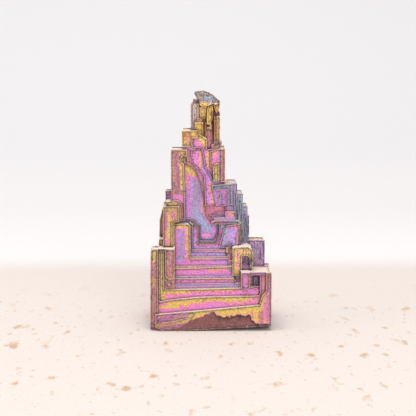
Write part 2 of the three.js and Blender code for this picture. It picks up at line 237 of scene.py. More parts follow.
stone = Finish("pale_stone")
spot = stone.place()
behind = stone.node("ShaderNodeSeparateXYZ", {}, {0: spot}, 1)
drawn_back = stone.node("ShaderNodeMapping", {}, {"Vector": spot, "Scale": (1, 0.45, 1)})
pits = stone.noise(PIT_SIZE, 3.0, drawn_back)
specks = stone.noise(SPECK_SIZE, 2.0, drawn_back)
grain = stone.noise(GRAIN_SIZE, 2.0)
pit_mask = (pits.ramp_between(0.60, 0.76) + specks.ramp_between(0.63, 0.75) * 0.6).clamp()
tone = stone.blend(grain, colour("#d9cdc4"), colour("#e4dbd4"))
tone = stone.blend(pit_mask * (1 - (behind / LAST_PIT).clamp()), tone, colour("#c8a078"))
tone = stone.blend(behind.ramp_between(*SLAB_END), tone, colour("#ebe8e6"))
stone.surface(
    Base_Color=stone.blend(behind.ramp_between(*WALL_START), tone, colour("#e4e2e3")),
    Roughness=0.8,
    Normal=stone.node("ShaderNodeBump", {}, {"Strength": 0.4, "Distance": PIT_DEPTH, "Height": pits * -1.0}),
)
floor.data.materials.append(stone.material)
print("floor", len(floor.data.polygons), "faces")

# %% [markdown]
# ## Lights
# A soft box above gives the tops of the steps their cream shine. Metal shows what is around it, so the
# room is a pale grey world, and a large panel in front keeps the upright faces' colours open. A weak one
# on the left lightens the left sides.

# %% Lights
def soft_box(name, place, width, power):
    bpy.ops.object.light_add(type="AREA", location=place)
    lamp = bpy.context.object
    lamp.name = name
    lamp.data.shape = "DISK"
    lamp.data.size = width
    lamp.data.energy = power
    lamp.rotation_euler = (aim - Vector(place)).to_track_quat("-Z", "Y").to_euler()


soft_box("light_above", (-0.05, -0.10, 0.55), 0.35, 1.8)
soft_box("light_front", (0.12, -0.60, 0.25), 0.5, 2.3)
soft_box("light_left", (-0.5, -0.15, 0.25), 0.3, 0.3)
ROOM_STRENGTH = 0.66
room = bpy.data.worlds.new("room")
bpy.context.scene.world = room
room.use_nodes = True
room.node_tree.nodes["Background"].inputs["Color"].default_value = colour("#f4f2f4")
room.node_tree.nodes["Background"].inputs["Strength"].default_value = ROOM_STRENGTH
bpy.context.scene.view_settings.view_transform = "Standard"
print("lights:", len(bpy.data.lights))

# %% [markdown]
# ## The crystal's clean shell
# The construction model is a heap of loose triangles. A copy is merged into one shell, and triangles
# that lie in one plane are dissolved into the flat terraces that they belong to.

# %% Copy, merge and dissolve
MERGE_REACH = 0.002 * MM
ONE_PLANE = math.radians(0.4)


def edit(piece):
    """Edit mode on one piece, with nothing selected."""
    bpy.ops.object.select_all(action="DESELECT")
    piece.select_set(True)
    bpy.context.view_layer.objects.active = piece
    bpy.ops.object.mode_set(mode="EDIT")
    bpy.ops.mesh.select_mode(type="FACE")
    bpy.ops.mesh.select_all(action="DESELECT")


crystal = bpy.data.objects.new("bismuth_hopper_crystal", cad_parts[CRYSTAL_NODE].data.copy())
bpy.context.collection.objects.link(crystal)
edit(crystal)
bpy.ops.mesh.select_all(action="SELECT")
bpy.ops.mesh.remove_doubles(threshold=MERGE_REACH)
bpy.ops.mesh.customdata_custom_splitnormals_clear()
bpy.ops.mesh.dissolve_limited(angle_limit=ONE_PLANE)
bpy.ops.object.mode_set(mode="OBJECT")
print("terraces and risers:", len(crystal.data.polygons), "faces")

# %% [markdown]
# ## A fine grid
# Rims and colours need points to live on, so every face is cut into small cells. Subdividing would cut
# long faces into long cells. Bisecting the whole shell at even heights, widths and depths gives square
# cells on every terrace.

# %% Bisect into cells
CELL = 0.5 * MM
FIRST_CUT = 0.37 * MM
TOUCHING = 0.0005 * MM
shell = bmesh.new()
shell.from_mesh(crystal.data)
growth = shell.loops.layers.float_vector.new("growth")
sunk = shell.faces.layers.int.new("sunk")
terrace = shell.faces.layers.int.new("terrace")
for axis in range(3):
    direction = Vector((axis == 0, axis == 1, axis == 2))
    for step in range(int(size[axis] / CELL)):
        bmesh.ops.bisect_plane(shell, geom=[*shell.verts, *shell.edges, *shell.faces], dist=TOUCHING,
                               plane_co=low + direction * (FIRST_CUT + step * CELL), plane_no=direction)
print("cells:", len(shell.faces), "after", round(time.time() - started, 1), "s")

# %% [markdown]
# ## Rims
# A hopper face keeps a thin raised rim where growth was fastest, along the outer, convex edges, and the
# field inside it lies a little lower. An inset would do this on one square, but these terraces are
# winding shapes that meet in corners. So each flat region is found first, its convex edges are offset
# inwards by the rim's width, and the cells are cut along those lines.

# %% Find the flat regions
RIM_WIDTH = 0.26 * MM
RIM_SHARE = 0.3
NARROWEST_FIELD = 0.42 * MM
FLAT = 0.99995
OUTSIDE = 9.0 * MM


class Region:
    """A connected set of faces in one plane."""

    def __init__(self, faces):
        self.faces = faces
        self.normal = faces[0].normal.copy()
        members = set(faces)
        self.rims, self.feet = [], []
        perimeter = 0.0
        for face in faces:
            for loop in face.loops:
                if any(other in members and other is not face for other in loop.edge.link_faces):
                    continue
                start, end = loop.vert.co.copy(), loop.link_loop_next.vert.co.copy()
                perimeter += (end - start).length
                (self.rims if loop.edge.is_convex else self.feet).append((start, end))
        area = sum(face.calc_area() for face in faces)
        self.width = 2 * area / max(perimeter, 1e-9)
        self.rim_width = 0.0
        if self.width > NARROWEST_FIELD and self.rims:
            self.rim_width = min(RIM_WIDTH, self.width * RIM_SHARE)

    def axis_aligned(self):
        return max(abs(n) for n in self.normal) > FLAT


def flat_regions(shell):
    seen = set()
    regions = []
    for seed in shell.faces:
        if seed in seen:
            continue
        seen.add(seed)
        faces, edge_of_fill = [seed], [seed]
        while edge_of_fill:
            face = edge_of_fill.pop()
            for edge in face.edges:
                for other in edge.link_faces:
                    if other not in seen and other.normal.dot(seed.normal) > FLAT:
                        seen.add(other)
                        faces.append(other)
                        edge_of_fill.append(other)
        regions.append(Region(faces))
    return regions


def distances(points, segments):
    """How far each point is from the nearest of some segments."""
    if not segments:
        return np.full(len(points), OUTSIDE)
    starts = np.array([s for s, _ in segments])
    spans = np.array([e - s for s, e in segments])
    lengths = np.maximum((spans ** 2).sum(1), 1e-16)
    best = np.full(len(points), OUTSIDE)
    for start, span, length in zip(starts, spans, lengths):
        along = np.clip(((points - start) @ span) / length, 0, 1)
        best = np.minimum(best, np.linalg.norm(points - start - along[:, None] * span, axis=1))
    return best


regions = flat_regions(shell)
print("flat regions:", len(regions), "after", round(time.time() - started, 1), "s")

# %% Cut along the inner edge of every rim
SAME_LINE = 0.01 * MM


def rim_lines(region):
    """The inner edges of a region's rims, each as a point, a direction inwards and the edges beside it."""
    lines = {}
    for start, end in region.rims:
        span = (end - start).normalized()
        inwards = region.normal.cross(span)
        point = start + inwards * region.rim_width
        key = (*(round(n, 2) for n in inwards), round(point.dot(inwards) / SAME_LINE))
        lines.setdefault(key, (point, inwards, []))[2].append((start, end))
    return lines.values()


def near(face, segments, reach):
    corners = [v.co for v in face.verts]
    lowest = [min(c[i] for c in corners) - reach for i in range(3)]
    highest = [max(c[i] for c in corners) + reach for i in range(3)]
    return any(
        all(min(s[i], e[i]) <= highest[i] and max(s[i], e[i]) >= lowest[i] for i in range(3))
        for s, e in segments
    )


cuts = 0
for region in regions:
    if not region.rim_width:
        continue
    cells = set(region.faces)
    for point, inwards, segments in rim_lines(region):
        crossed = []
        for face in cells:
            sides = [(v.co - point).dot(inwards) for v in face.verts]
            if min(sides) < -SAME_LINE and max(sides) > SAME_LINE and near(face, segments, region.rim_width):
                crossed.append(face)
        if not crossed:
            continue
        cells.difference_update(crossed)
        parts = {element for face in crossed for element in (face, *face.edges, *face.verts)}
        cut = bmesh.ops.bisect_plane(shell, geom=list(parts), dist=SAME_LINE / 4,
                                     plane_co=point, plane_no=inwards)
        cells.update(e for e in cut["geom"] if isinstance(e, bmesh.types.BMFace))
        cuts += 1
regions = flat_regions(shell)
print("rim cuts:", cuts, "cells:", len(shell.faces), "after", round(time.time() - started, 1), "s")

# %% [markdown]
# ## What the film depends on
# The oxide film is thinnest on the rims and thickens towards the middle of a field and towards the foot
# of the next step. Each corner of each cell is told how far it is from its region's rims and from its
# feet, and how wide the region is. The material reads these numbers later. The cells inside the rims are
# marked as well, to be sunk in the next step.

# %% Measure every cell's distance to rims and feet
FIELD_START = 0.98
for number, region in enumerate(regions):
    loops = [loop for face in region.faces for loop in face.loops]
    points = np.array([loop.vert.co for loop in loops])
    inside_rim = (distances(points, region.rims) - region.rim_width) / MM
    from_foot = distances(points, region.feet) / MM
    for loop, rim, foot in zip(loops, inside_rim, from_foot):
        loop[growth] = (rim, foot, region.width / MM)
    for face in region.faces:
        face[terrace] = number
    if not (region.rim_width and region.axis_aligned()):
        continue
    middles = np.array([face.calc_center_median() for face in region.faces])
    inside = distances(middles, region.rims) > region.rim_width * FIELD_START
    for face, is_field in zip(region.faces, inside):
        face[sunk] = int(is_field)
shell.to_mesh(crystal.data)
shell.free()
print("measured after", round(time.time() - started, 1), "s")

# %% [markdown]
# ## Sunken fields
# The marked cells inside the rims now sink a little. A Displace modifier would leave slopes where they
# meet the rims, so they are extruded instead: those that face one way are selected and moved straight
# inwards, which leaves upright walls, and the same is done for each of the six directions.

# %% Sink the fields
FIELD_DEPTH = 0.16 * MM
for axis in range(3):
    for side in (1, -1):
        outwards = Vector((axis == 0, axis == 1, axis == 2)) * side
        edit(crystal)
        bpy.ops.object.mode_set(mode="OBJECT")
        marks = crystal.data.attributes["sunk"].data
        for face in crystal.data.polygons:
            face.select = bool(marks[face.index].value) and face.normal.dot(outwards) > FLAT
        bpy.ops.object.mode_set(mode="EDIT")
        bpy.ops.mesh.extrude_region_move(TRANSFORM_OT_translate={"value": outwards * -FIELD_DEPTH})
        bpy.ops.object.mode_set(mode="OBJECT")
print("faces:", len(crystal.data.polygons), "after", round(time.time() - started, 1), "s")

# %% [markdown]
# ## The broken cap and slight wear
# The crystal was torn out of the melt at its top, which left a rough lump. Its faces get more points, and
# a Displace modifier moves them inwards by a cloud texture, so the lump never grows past its true size.
# The same modifier with a colour texture then moves every point of the crystal sideways by a few
# hundredths of a millimetre, because no real edge is a ruled line. Last, points are held inside the box.

# %% Roughen
CAP_HEIGHT = 46.2 * MM
CAP_DEPTH = 0.5 * MM
CAP_GRAIN = 0.8 * MM
WAVER = 0.11 * MM
WAVER_LENGTH = 2.2 * MM
SQUARE_ON = 0.999
CREASE_ANGLE = math.radians(25)


def displace(piece, texture_name, grain_size, strength, **settings):
    """Move a piece's points by a cloud texture and apply the modifier."""
    texture = bpy.data.textures.new(texture_name, "CLOUDS")
    texture.noise_scale = grain_size
    texture.cloud_type = "COLOR" if settings.get("direction") == "RGB_TO_XYZ" else "GRAYSCALE"
    modifier = piece.modifiers.new(texture_name, "DISPLACE")
    modifier.texture = texture
    modifier.strength = strength
    for name, value in settings.items():
        setattr(modifier, name, value)
    edit(piece)
    bpy.ops.object.mode_set(mode="OBJECT")
    bpy.ops.object.modifier_apply(modifier=texture_name)


def is_cap(face):
    """True for the slanting faces above the last terrace."""
    return face.center.z > CAP_HEIGHT and max(abs(n) for n in face.normal) < SQUARE_ON


edit(crystal)
bpy.ops.object.mode_set(mode="OBJECT")
crystal.data.attributes.new("torn", "INT", "FACE")
marks = crystal.data.attributes["torn"].data
for face in crystal.data.polygons:
    face.select = is_cap(face)
    marks[face.index].value = int(face.select)
bpy.ops.object.mode_set(mode="EDIT")
bpy.ops.mesh.subdivide(number_cuts=1)
bpy.ops.object.mode_set(mode="OBJECT")
marks = crystal.data.attributes["torn"].data
torn = [face for face in crystal.data.polygons if marks[face.index].value]
cap = crystal.vertex_groups.new(name="cap")
cap.add(sorted({vertex for face in torn for vertex in face.vertices}), 1.0, "REPLACE")
displace(crystal, "torn", CAP_GRAIN, CAP_DEPTH, mid_level=1.0, vertex_group="cap")
displace(crystal, "waver", WAVER_LENGTH, WAVER, direction="RGB_TO_XYZ", mid_level=0.5)
for vertex in crystal.data.vertices:
    vertex.co = [min(max(vertex.co[i], low[i]), high[i]) for i in range(3)]
edit(crystal)
bpy.ops.object.mode_set(mode="OBJECT")
bpy.ops.object.shade_smooth_by_angle(angle=CREASE_ANGLE)
print("roughened:", len(crystal.data.polygons), "faces after", round(time.time() - started, 1), "s")

# %% [markdown]
# ## The film on each terrace
# A thin film's colour depends only on its thickness: silver, gold, salmon, pink, orchid, violet, mauve,
# blue-grey and teal. Here it is a number from 0 to 1, with names for the colours used most. Every terrace
# cooled at its own pace, so each has its own film at the rim and in the middle, and a dullness for where
# the oxide grew matt and brown. Painting each face by hand would be slow, so first whole parts of the
# crystal get a wash, then the terraces seen from the front are named by a place on them. Two values
# outside the dullness's range are marks: a torn face, and a terrace too shallow for dark lines.

# %% Film numbers
GOLD, SALMON, PINK, ORCHID = 0.2, 0.32, 0.43, 0.53
VIOLET, MAUVE, BLUE = 0.63, 0.72, 0.82
BROKEN = 2.0
SHALLOW = -0.5
VARIATION = 0.06
mesh = crystal.data
bpy.context.view_layer.update()


def read(items, name, kind, width=1):
    values = np.empty(len(items) * width, dtype=kind)
    items.foreach_get(name, values)
    return values.reshape(-1, width) if width > 1 else values


corners_of_face = read(mesh.polygons, "loop_total", np.int32)
terrace_of_face = read(mesh.attributes["terrace"].data, "value", np.int32)
terrace_of_corner = np.repeat(terrace_of_face, corners_of_face)
normal = np.repeat(read(mesh.polygons, "normal", np.float32, 3), corners_of_face, axis=0)
point = read(mesh.vertices, "co", np.float32, 3)[read(mesh.loops, "vertex_index", np.int32)]
forward = (low.y - point[:, 1]) / (viewpoint.y - point[:, 1])
seen = (point + (np.array(viewpoint) - point) * forward[:, None])[:, [0, 2]] / MM
draw = np.random.default_rng(7)
variation = draw.normal(0, VARIATION, terrace_of_face.max() + 1)[terrace_of_corner]
print("corners:", len(point), "terraces:", terrace_of_face.max() + 1)

# %% Washes over whole parts
# Each wash is a place and reach across and up in mm, the film at rims and in middles, and the dullness.
UNSEEN_FILM = [0.30, 0.50, 0.30]
# The tops of the steps get the palest film: painted light, as if lit from above.
PAINTED_TOP_LIGHT_FILM = [0.0, 0.06, 0.0]
LEDGE_SLOPE = 0.7
WASH_FIRMNESS = 1.6
STROKE_FIRMNESS = 1.5
WASHES = [
    (0, 5, 15, 7, 0.26, 0.45, 0.25),
    (-1, 26, 6, 12, 0.34, 0.60, 0.15),
    (-10.6, 13, 3.2, 8, 0.24, 0.42, 0.60),
    (-8.5, 22, 2.6, 7, 0.22, 0.38, 0.40),
    (9.6, 15.5, 3.0, 4.5, 0.50, 0.68, 0.45),
    (6.4, 24, 3.2, 8.5, 0.84, 0.93, 0.0),
    (-1, 45, 6, 8, 0.28, 0.25, 0.0),
    (-1.35, 41.6, 0.5, 2.8, 0.28, 0.28, 1.0),
    (0.35, 41.5, 0.45, 3.6, 0.28, 0.28, 1.0),
    (0.5, 44.6, 0.8, 0.8, 0.28, 0.28, 1.0),
]
film = np.tile(np.array(UNSEEN_FILM), (len(point), 1))


def weights(x, z, reach_x, reach_z):
    """1 in the middle of an ellipse, 0 at its edge and beyond."""
    apart = ((seen[:, 0] - x) / reach_x) ** 2 + ((seen[:, 1] - z) / reach_z) ** 2
    return np.clip(WASH_FIRMNESS * (1 - apart), 0, 1)[:, None]


def brush(start, end, reach):
    """1 along a stroke from start to end, 0 at reach from it and beyond."""
    span = np.subtract(end, start)
    along = np.clip((seen - start) @ span / (span @ span), 0, 1)
    apart = np.linalg.norm(seen - start - along[:, None] * span, axis=1) / reach
    return np.clip(STROKE_FIRMNESS * (1 - apart ** 2), 0, 1)[:, None]


for x, z, reach_x, reach_z, *values in WASHES:
    weight = weights(x, z, reach_x, reach_z)
    film += (np.array(values) - film) * weight
film[:, :2] += variation[:, None]
# The tops, found by their normal, are painted the palest cream as light from above.
film[normal[:, 2] > LEDGE_SLOPE] = PAINTED_TOP_LIGHT_FILM
print("washes:", len(WASHES))

# %% [markdown]
# ## Single terraces
# On the front each terrace has a colour of its own. Picking its cells by number would break whenever the
# model changes, so a ray is cast from the camera through a place on the front plane, and the terrace that
# it meets gets the film.

# %% Terraces seen from the front
# A place in mm on each terrace, its film at the rim and in the middle, and its dullness.
TERRACES = [
    (0, 2.5, GOLD, GOLD, 0.0),
    (0, 6.0, 0.36, PINK, 0.0),
    (0, 8.0, 0.34, PINK, 0.0),
    (0, 9.2, VIOLET, ORCHID, 0.20),
    (0, 9.5, VIOLET, ORCHID, 0.10),
    (0, 10.6, 0.30, ORCHID, 0.0),
    (0, 11.4, VIOLET, ORCHID, 0.10),
    (0, 12.4, SALMON, ORCHID, 0.0),
    (0, 16.1, VIOLET, VIOLET, 0.0),
    (-6, 19, GOLD, MAUVE, 0.05),
    (-3.4, 20, SALMON, 0.72, 0.0),
    (4.6, 20, 0.33, 0.75, 0.0),
    (-0.8, 18.6, MAUVE, BLUE, 0.35),
    (-3, 27, PINK, 0.71, 0.20),
    (-0.6, 28, 0.46, 0.66, 0.0),
    (-7, 30, 0.25, 0.50, 0.95),
    (-1.3, 36, PINK, PINK, 0.0),
    (1, 36, 0.36, PINK, 0.0),
    (1, 33.5, GOLD, 0.24, 0.05),
    (2.2, 33, SALMON, PINK, 0.15),
    (-5, 40, GOLD, 0.38, 0.40),
    (-0.5, 40.8, 0.36, 0.38, 0.25),
    (0.9, 41, 0.30, 0.28, 0.70),
    (1.7, 27.5, 0.62, 0.60, SHALLOW),
    (1.2, 27.8, 0.60, 0.52, SHALLOW),
    (2.6, 27.6, 0.50, 0.34, SHALLOW),
    (0.5, 29.5, 0.80, 0.85, 0.30),
    (1, 25.2, 0.42, 0.38, SHALLOW),
    (3.6, 24.3, 0.37, 0.37, SHALLOW),
    (2, 23.3, VIOLET, VIOLET, SHALLOW),
    (4.2, 30.2, 0.85, 0.85, 0.2),
    (-9, 20.5, 0.24, 0.43, 0.50),
    (-8.5, 9.9, 0.36, PINK, 0.0),
    (-8.5, 14, 0.22, 0.5, 0.75),
    (-12.1, 12, 0.29, 0.42, 0.85),
    (-3.8, 44, 0.02, 0.08, 0.0),
    (-3.1, 43.5, 0.02, 0.08, 0.0),
    (6.9, 10.2, 0.46, 0.42, 0.40),
    (9.3, 10.4, 0.62, 0.56, 0.0),
    (4.6, 15, GOLD, SALMON, 0.0),
    (9.6, 15, 0.50, 0.72, 0.50),
]


def terrace_at(x, z):
    """The number of the terrace that is seen at a place in millimetres on the front plane."""
    aimed = Vector((x * MM, low.y, z * MM))
    hit, _, _, face = crystal.ray_cast(viewpoint, (aimed - viewpoint).normalized())
    return terrace_of_face[face] if hit else -1


named = set()
for x, z, *values in TERRACES:
    number = terrace_at(x, z)
    named.add(number)
    film[terrace_of_corner == number] = values
print("terraces named:", len(named), "of", len(TERRACES))

# %% [markdown]
# ## Strokes
# The film isn't even within a terrace: gold runs along some rims, and pink pools in some corners. A stroke
# works like a soft brush between two places, and it changes only the terrace that it starts on.

# %% Strokes on terraces
# A stroke's start, its end and its reach to each side in mm, then the film and dullness along its middle.
STROKES = [
    # the base and the band above it
    (-9.2, 3.3, -5.2, 3.7, 0.9, 0.45, 0.35),
    (-10.8, 2.3, -8.5, 2.6, 0.8, 0.44, 0.45),
    (-10.6, 4.2, -3.4, 4.4, 0.5, 0.45, 0.15),
    (-11.0, 0.7, -6.5, 0.7, 0.8, 0.36, 0.95),
    (-10.9, 3.2, -10.9, 6.6, 0.45, 0.40, 0.80),
    (-4.6, 1.3, -9.6, 0.7, 0.80, 0.38, 0.90),
    (8.3, 3.7, 8.4, 3.0, 0.35, 0.33, 0.35),
    (10.4, 4.0, 10.4, 1.8, 0.60, 0.36, 0.80),
    (11.0, 2.6, 11.4, 8.2, 0.45, 0.45, 0.0),
    (11.9, 1.6, 11.9, 11.5, 0.65, 0.40, 0.70),
    (11.1, 8.6, 11.1, 11.6, 0.45, 0.40, 0.60),
    (-5.6, 5.7, -3.0, 6.4, 0.45, GOLD, 0.0),
    (-3.0, 6.5, 3.5, 6.7, 0.55, GOLD, 0.0),
    (3.5, 6.5, 7.8, 7.1, 0.55, GOLD, 0.0),
    (-10.6, 5.1, -6.4, 5.3, 0.40, GOLD, 0.0),
    (-8.6, 5.8, -5.8, 6.0, 0.35, GOLD, 0.0),
    (10.0, 8.6, 10.4, 11.6, 0.60, PINK, 0.0),
    (-10.2, 8.4, -4.5, 8.5, 0.50, GOLD, 0.0),
    (-4.5, 8.5, 4.6, 8.8, 0.38, 0.24, 0.0),
    (-10.2, 7.7, -9.5, 7.0, 0.55, GOLD, 0.0),
    (-10.1, 9.2, -10.1, 16.4, 0.80, GOLD, 0.0),
    # the stairs
    (-0.5, 12.75, 4.6, 13.1, 0.40, 0.29, 0.0),
    (-6.8, 13.9, 3.2, 14.5, 0.95, 0.50, 0.0),
    (-5.0, 14.95, -1.0, 15.0, 0.30, SALMON, 0.0),
    (1.2, 14.7, 3.0, 14.9, 0.40, 0.60, 0.0),
    (3.3, 16.0, 3.8, 16.2, 0.60, 0.76, 0.6),
    (3.2, 17.7, 4.4, 18.1, 0.60, 0.82, 0.5),
    (3.6, 14.6, 4.1, 14.7, 0.60, 0.74, 0.5),
    (4.0, 12.9, 4.8, 13.3, 0.70, 0.74, 0.4),
    (-7.1, 16.0, -7.1, 21.4, 0.70, PINK, 0.0),
    (-6.6, 21.9, -5.1, 21.9, 0.55, GOLD, 0.0),
    (-4.8, 21.6, -4.8, 15.6, 0.40, 0.28, 0.0),
    (-5.9, 15.5, -5.4, 16.4, 0.55, 0.74, 0.1),
    (2.6, 21.7, 5.0, 22.0, 0.55, 0.84, 0.1),
    (3.1, 21.6, 2.6, 19.0, 0.50, 0.82, 0.1),
    (2.6, 19.0, 2.0, 17.6, 0.45, 0.80, 0.0),
    (4.0, 20.2, 3.6, 19.0, 0.50, 0.64, 0.0),
    (5.3, 19.4, 5.9, 20.2, 0.50, 0.34, 0.0),
    # the central floor
    (-4.4, 32.6, -3.5, 31.9, 0.60, 0.42, 0.0),
    (-4.5, 34.0, -3.3, 32.9, 1.10, GOLD, 0.0),
    (-4.9, 33.2, -4.9, 30.0, 0.30, 0.29, 0.0),
    (-3.2, 32.8, -2.2, 31.4, 0.45, 0.26, 0.0),
    (-2.1, 31.2, -1.75, 28.0, 0.38, 0.30, 0.0),
    (-1.75, 28.0, -1.4, 25.0, 0.38, 0.31, 0.0),
    (-1.3, 24.6, -0.1, 22.7, 0.45, 0.33, 0.0),
    (0.3, 22.5, 0.7, 22.3, 0.45, 0.36, 0.0),
    (-3.6, 25.0, -1.2, 21.8, 1.15, 0.82, 0.0),
    (-1.2, 21.8, -0.4, 21.0, 0.75, 0.82, 0.05),
    (-3.8, 23.4, -2.3, 20.6, 0.40, 0.50, 0.0),
    (0.3, 21.6, 0.9, 20.4, 0.40, 0.50, 0.0),
    (-2.0, 19.5, 0.5, 19.4, 0.50, 0.62, 0.0),
    (-1.6, 20.0, 0.2, 20.0, 0.36, 0.38, 0.0),
    (-4.5, 24.0, -4.5, 31.5, 0.50, 0.46, 0.0),
    # the panels above it
    (0.35, 26.6, -0.1, 30.6, 0.35, 0.24, 0.0),
    (-3.4, 37.0, -2.4, 34.4, 0.90, PINK, 0.0),
    (-2.1, 37.2, -2.0, 33.9, 0.30, 0.24, 0.0),
    (-3.8, 37.6, -2.3, 37.6, 0.28, 0.24, 0.0),
    (-7.6, 27.5, -6.4, 27.6, 0.70, 0.46, 0.05),
    (-5.7, 27.0, -5.7, 23.6, 0.80, 0.44, 0.1),
    (-5.7, 29.5, -5.8, 36.0, 0.45, GOLD, 0.0),
    (-5.6, 36.8, -5.0, 37.2, 0.60, GOLD, 0.0),
    (-0.8, 37.0, -0.4, 33.6, 0.28, GOLD, 0.0),
    (-2.4, 40.4, -1.3, 39.4, 0.90, GOLD, 0.0),
    (-1.3, 39.2, -1.2, 38.0, 0.45, GOLD, 0.0),
    (-2.8, 38.6, -1.9, 39.1, 0.30, 0.40, 0.0),
    (-3.6, 40.7, -2.9, 40.2, 0.45, GOLD, 0.0),
    (-3.2, 42.6, -3.0, 45.0, 0.35, GOLD, 0.0),
    (0.3, 37.1, 1.3, 37.2, 0.45, GOLD, 0.0),
    (0.5, 36.8, 0.7, 36.4, 0.35, GOLD, 0.0),
    (1.9, 36.9, 2.0, 35.6, 0.40, 0.60, 0.25),
    # the left and right blocks
    (-12.0, 9.4, -12.0, 10.4, 0.30, GOLD, 0.1),
    (-12.0, 11.2, -11.9, 14.6, 0.35, 0.36, 0.1),
    (-11.7, 14.4, -11.5, 16.6, 0.22, GOLD, 0.0),
    (-11.3, 6.0, -11.3, 7.8, 0.25, GOLD, 0.0),
    (-12.1, 1.0, -12.1, 8.6, 0.40, 0.40, 0.9),
    (-9.4, 25.3, -8.0, 25.3, 0.80, GOLD, 0.9),
    (-9.2, 18.7, -8.6, 18.9, 0.60, PINK, 0.0),
    (-9.1, 24.0, -9.0, 21.0, 0.45, 0.44, 0.6),
    (-8.3, 24.2, -8.3, 19.6, 0.35, GOLD, 0.0),
    (-8.0, 22.4, -7.0, 22.6, 0.50, 0.30, 1.0),
    (-8.8, 28.4, -8.8, 27.4, 0.70, 0.60, 1.0),
    (5.3, 13.5, 5.4, 15.6, 0.50, PINK, 0.0),
    (6.0, 16.2, 7.6, 16.4, 0.35, SALMON, 0.0),
]
for x, z, end_x, end_z, reach, thickness, dullness in STROKES:
    weight = brush((x, z), (end_x, end_z), reach) * (terrace_of_corner == terrace_at(x, z))[:, None]
    film += (np.array([thickness, thickness, dullness]) - film) * weight
print("strokes:", len(STROKES), "after", round(time.time() - started, 1), "s")

# %% The torn cap's own numbers
# The cap has no film. On its faces the first number is how blue they are, and the last is the mark.
ALL_CAP = 47 * MM
BLUE_SPOTS = [(-0.85, 47.75, 0.38, 0.48), (0.1, 47.6, 0.34, 0.5)]
torn_corners = np.repeat(read(mesh.attributes["torn"].data, "value", np.int32), corners_of_face) > 0
torn_corners |= point[:, 2] > ALL_CAP
blue_share = sum(weights(*spot) for spot in BLUE_SPOTS)
film[torn_corners] = np.hstack([blue_share, blue_share, np.full_like(blue_share, BROKEN)])[torn_corners]
layer = mesh.attributes.new("film", "FLOAT_VECTOR", "CORNER")
layer.data.foreach_set("vector", film.astype(np.float32).ravel())
print("torn corners:", int(torn_corners.sum()))

# %% [markdown]
# ## The film's colours
# One ramp turns the thickness into a colour. It has plateaus, because the eye sees gold or pink over a
# range of thickness and the change between them is quick. Two noises, one drawn out along the steps and
# one fine, move the borders about so that no two edges are alike.

# %% Bismuth with its oxide film
FILM_COLOURS = [
    (0.00, colour("#f4e6dc")),
    (0.09, colour("#f0decb")),
    (0.15, colour("#ecd07c")),
    (0.26, colour("#e9c45e")),
    (0.31, colour("#f2b08a")),
    (0.36, colour("#f49ca8")),
    (0.41, colour("#f290ca")),
    (0.50, colour("#e690da")),
    (0.57, colour("#d496e2")),
    (0.65, colour("#c2a6e6")),
    (0.73, colour("#b69cc4")),
    (0.81, colour("#a8b2d8")),
    (0.90, colour("#9cbaca")),
    (1.00, colour("#9ab2bc")),
]
bismuth = Finish("bismuth_oxide_film")


def parts(attribute):
    vector = bismuth.node("ShaderNodeAttribute", {"attribute_name": attribute}, {}, "Vector")
    return [bismuth.node("ShaderNodeSeparateXYZ", {}, {0: vector}, i) for i in range(3)]


inside_rim, from_foot, field_width = parts("growth")
rim_film, middle_film, dullness = parts("film")
spot = bismuth.place()
across, back, up = (bismuth.node("ShaderNodeSeparateXYZ", {}, {0: spot}, i) for i in range(3))


def streaks(feature, stretch):
    """Noise drawn out along an axis, from -0.5 to 0.5."""
    drawn = bismuth.node("ShaderNodeMapping", {}, {"Vector": spot, "Scale": stretch})
    return bismuth.noise(feature, 2.5, drawn) - 0.5


print("stops of the film's ramp:", len(FILM_COLOURS))

# %% Clouds, flecks and the film's thickness
# Clouds lie along the stairs at the bottom and stand upright on the panels above. The right flank has
# fine upright grooves. All of them thicken or thin the film.
CLOUD_SIZE = 1.5 * MM
FLECK_SIZE = 0.38 * MM
GROOVE_SIZE = 0.4 * MM
STAIRS_TOP = (14 * MM, 17 * MM)
FLANK_LEFT = (4.6 * MM, 5.4 * MM)
FLANK_FOOT = (12.5 * MM, 13.5 * MM)
lying = streaks(CLOUD_SIZE, (0.3, 1, 1))
upright = streaks(CLOUD_SIZE, (1, 1, 0.3))
clouds = lying + (upright - lying) * up.ramp_between(*STAIRS_TOP)
flecks = bismuth.noise(FLECK_SIZE, 3.0) - 0.5
grooved = across.ramp_between(*FLANK_LEFT) * up.ramp_between(*FLANK_FOOT)
grooves = streaks(GROOVE_SIZE, (1, 1, 0.15))
inwards = 1 - inside_rim.at_least(0.0).fade(2.0)
thickness = rim_film + (middle_film - rim_film) * inwards
thickness = thickness + clouds * 0.24 + flecks * 0.17 + grooves * grooved * 0.6
print("nodes:", len(bismuth.tree.nodes))

# %% [markdown]
# ## Bare and dull places
# Along the foot the film is gone and brown metal shows, up to a wavy line with a thicker film above it.
# A mask painted by hand would do, but a ramp across the crystal can hold the line's heights as greys, and
# noise makes it ragged. Elsewhere the oxide grew matt and brown on the blocks. Near the tip the matt
# red-brown is partly dull oxide and partly painted shade in its hollows.

# %% The bare brown foot
# The line as places across and heights in mm.
FOOT_LINE = [
    (-12.4, 0.5), (-9, 0.3), (-6.5, 0.9), (-3.7, 2.4), (-2.1, 3.1), (0.5, 3.9), (1.7, 3.0),
    (3.8, 2.9), (5.4, 3.5), (6.2, 3.2), (7.9, 3.5), (8.6, 2.2), (9.4, 1.5), (12.4, 1.3),
]
FOOT_TOP = 5.0
RAGGED_SIZE = 0.9 * MM
BARE_EDGE = 0.06
stops = [(x * MM / size.x + 0.5, (height / FOOT_TOP,) * 3 + (1.0,)) for x, height in FOOT_LINE]
foot_line = bismuth.node("ShaderNodeValToRGB", {"stops": stops}, {0: across / size.x + 0.5})
ragged = bismuth.noise(RAGGED_SIZE, 4.0) - 0.5
above_foot = up / MM - (foot_line * FOOT_TOP + ragged * 1.7 + flecks * 0.4)
bare = 1 - above_foot.ramp_between(-BARE_EDGE, BARE_EDGE)
thickness = thickness + above_foot.at_least(0.0).fade(4.0) * 0.2 * (1 - bare)
